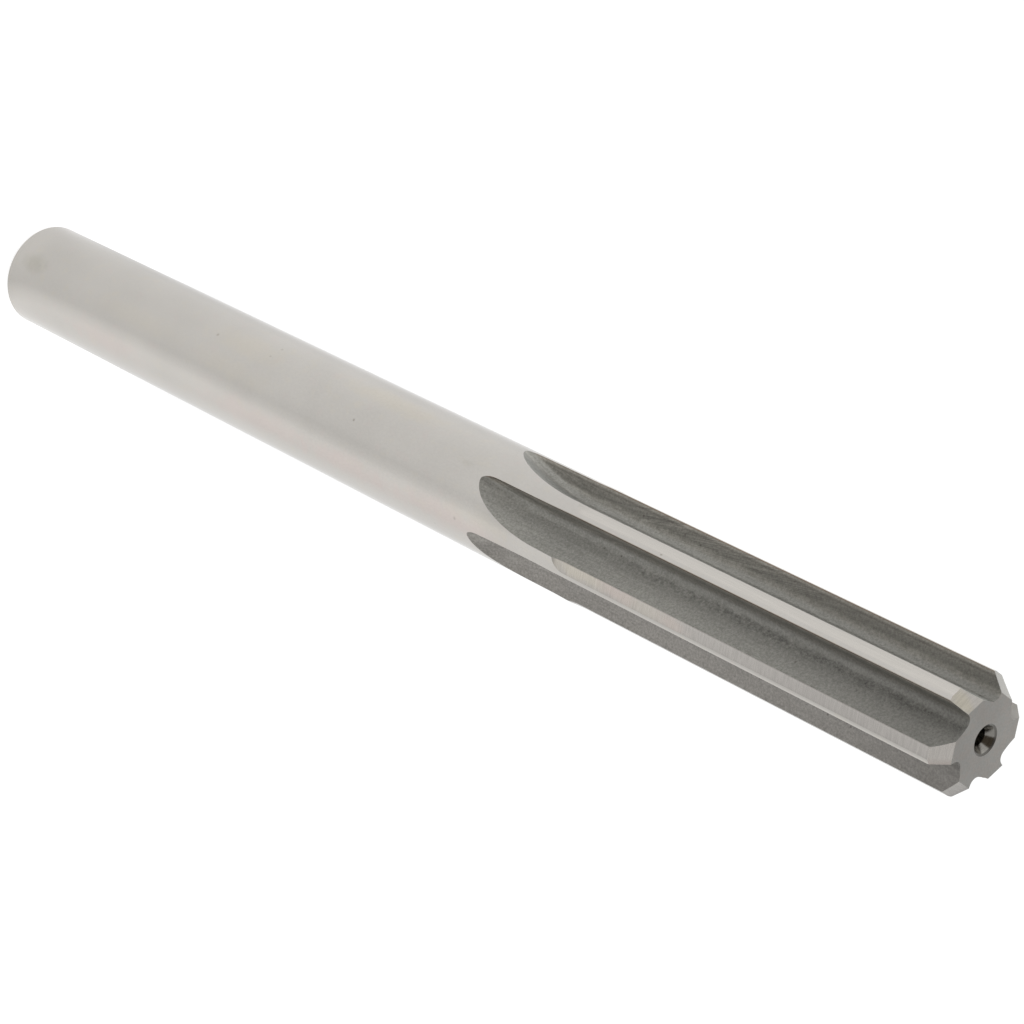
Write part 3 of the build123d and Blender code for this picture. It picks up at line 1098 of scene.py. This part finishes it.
def makeFloor():
    # the floor is a light table, a little brighter on some sides of the reamer than on others
    material, tree, surface = startMaterial("paleFloor")
    paint = studio["floorPaint"]
    surface["Base Color"].default_value = (paint, paint, paint, 1.0)
    surface["Roughness"].default_value = studio["floorRoughness"]
    place = useGroup(tree, toolPlace)
    azimuth, radius = place["Azimuth"], place["Radius"]
    glow = mixValue(tree, fade(tree, radius, *studio["nearReach"]),
                    spread(tree, azimuth, fullTurn, studio["nearGlow"]),
                    spread(tree, azimuth, fullTurn, studio["farGlow"]))
    shade = calc(tree, "DIVIDE", studio["shadeLift"], calc(tree, "MAXIMUM", radius, studio["shadeRadius"]))
    aside = distance(tree, azimuth, studio["footAzimuth"])
    foot = times(tree, fade(tree, aside, *studio["footSides"]), fade(tree, radius, *studio["footReach"]))
    glow = calc(tree, "ADD", glow, calc(tree, "ADD", shade, foot))
    white = calc(tree, "MAXIMUM", glow, fade(tree, radius, *studio["cameraWhite"]))
    seen = addNode(tree, "ShaderNodeLightPath").outputs["Is Camera Ray"]
    glow = mixValue(tree, seen, glow, white)
    setOrLink(tree, surface["Emission Color"], calc(tree, "SUBTRACT", glow, paint))
    surface["Emission Strength"].default_value = 1.0
    squares = studio["floorSquares"]
    bm = bmesh.new()
    bmesh.ops.create_grid(bm, x_segments=squares, y_segments=squares, size=studio["floorSize"] / 2)
    bmesh.ops.translate(bm, vec=(0, 0, -studio["floorDrop"]), verts=bm.verts)
    floor = addObject("floor", bm, material)


def makeWorld():
    # a white light tent. Only shiny metal shows the gap in it.
    world = bpy.data.worlds.new("whiteStudio")
    world.use_nodes = True
    scene.world = world
    tree = world.node_tree
    back = tree.nodes["Background"]
    place = addNode(tree, "ShaderNodeTexCoord").outputs["Generated"]
    forward = dot(tree, place, around(1.0, studio["gapAzimuth"]))
    aside = dot(tree, place, around(1.0, studio["gapAzimuth"] + 90.0))
    height = addNode(tree, "ShaderNodeSeparateXYZ", {0: place}).outputs[2]
    level = calc(tree, "COSINE", calc(tree, "ARCSINE", height))
    narrowing = studio["gapNarrowing"]
    width = calc(tree, "MULTIPLY_ADD", level, narrowing, 1.0 - narrowing)
    aside = calc(tree, "DIVIDE", calc(tree, "ABSOLUTE", aside), width)
    shiny = addNode(tree, "ShaderNodeLightPath").outputs["Is Glossy Ray"]
    dark = times(tree, fade(tree, aside, *studio["gapSides"]),
                 fade(tree, forward, *studio["gapBack"]), shiny)
    colour = mixColour(tree, dark, (1.0, 1.0, 1.0, 1.0), opaque(studio["gapColour"]))
    setOrLink(tree, back.inputs["Color"], colour)
    back.inputs["Strength"].default_value = studio["worldLight"]


def makeCamera():
    data = bpy.data.cameras.new("camera")
    data.lens = studio["lens"]
    data.sensor_width = studio["sensorWidth"]
    data.clip_start, data.clip_end = studio["cameraClip"]
    camera = bpy.data.objects.new("camera", data)
    scene.collection.objects.link(camera)
    right = Vector(studio["cameraRight"])
    up = -Vector(studio["cameraDown"])
    back = -Vector(studio["cameraForward"])
    turn = Matrix((right, up, back)).transposed().to_4x4()
    camera.matrix_world = Matrix.Translation(studio["cameraPlace"]) @ turn
    scene.camera = camera


makeFloor()
makeWorld()
makeCamera()
scene.view_settings.view_transform = "Standard"
print("floor, light and camera made")

bpy.context.view_layer.update()
